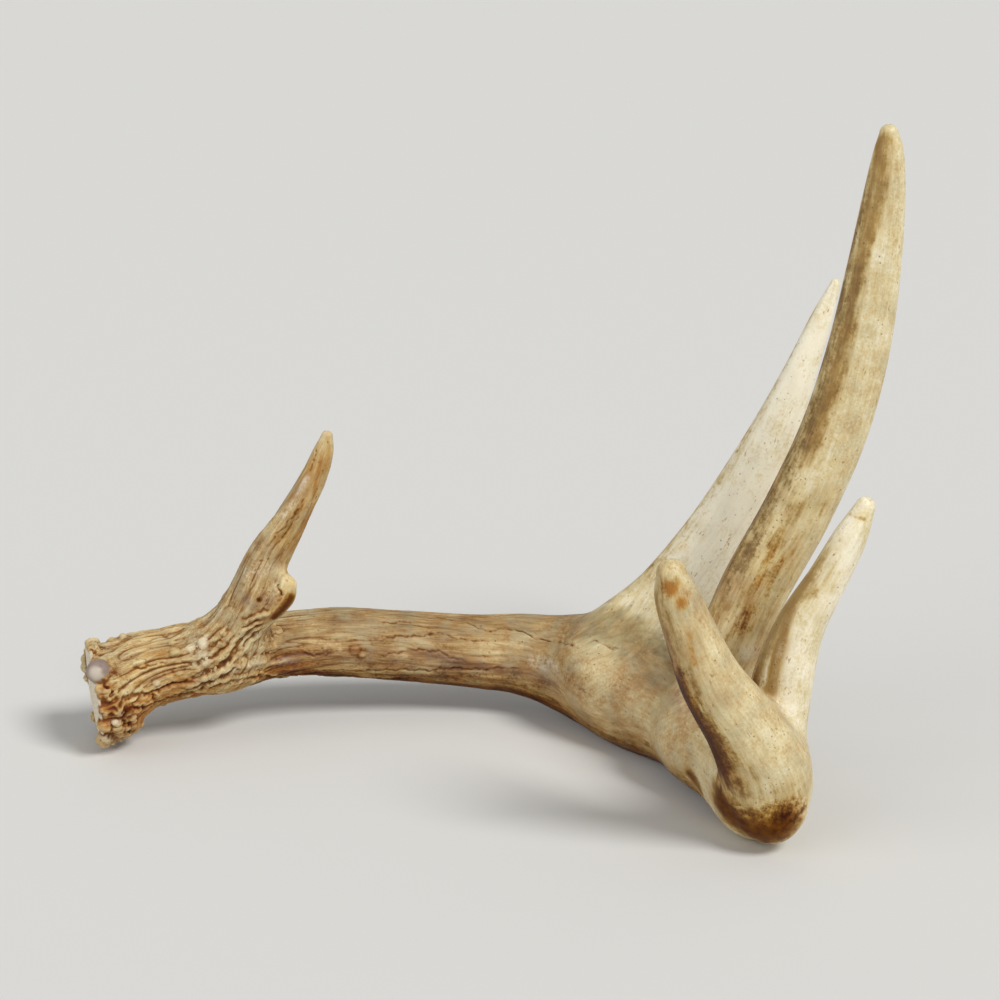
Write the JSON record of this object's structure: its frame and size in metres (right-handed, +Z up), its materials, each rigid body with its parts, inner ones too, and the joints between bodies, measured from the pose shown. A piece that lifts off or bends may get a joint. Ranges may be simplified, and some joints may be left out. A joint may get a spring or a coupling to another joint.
{
  "type": "deer antler",
  "caption": "Shed deer antler with a curved main beam, a knobbly burr, a forked brow tine and tall tines, lying with its tines up.",
  "frame": {"origin": "on the resting plane, under the middle of the antler's box", "axes": "+Z up, +X from the burr towards the tall tines, +Y towards the outside of the beam's bend"},
  "size_m": [0.337, 0.1835, 0.274],
  "materials": {
    "burr_bone": "rough orange-brown antler bone with ridges, furrows and pearls",
    "brow_bone": "ridged brown antler bone, worn pale at the tips",
    "beam_bone": "grooved grey-tan antler bone, dark brown underneath",
    "tine_bone": "smooth cream antler bone with brown stains and pores, satin polish"
  },
  "bodies": {
    "root": {"base_beam": "burr_bone", "brow_tine": "brow_bone", "brow_spur": "brow_bone", "middle_beam": "beam_bone", "upper_beam": "beam_bone", "second_tine": "tine_bone", "third_tine": "tine_bone", "fourth_tine": "tine_bone", "beam_point": "tine_bone"}
  },
  "joints": []
}
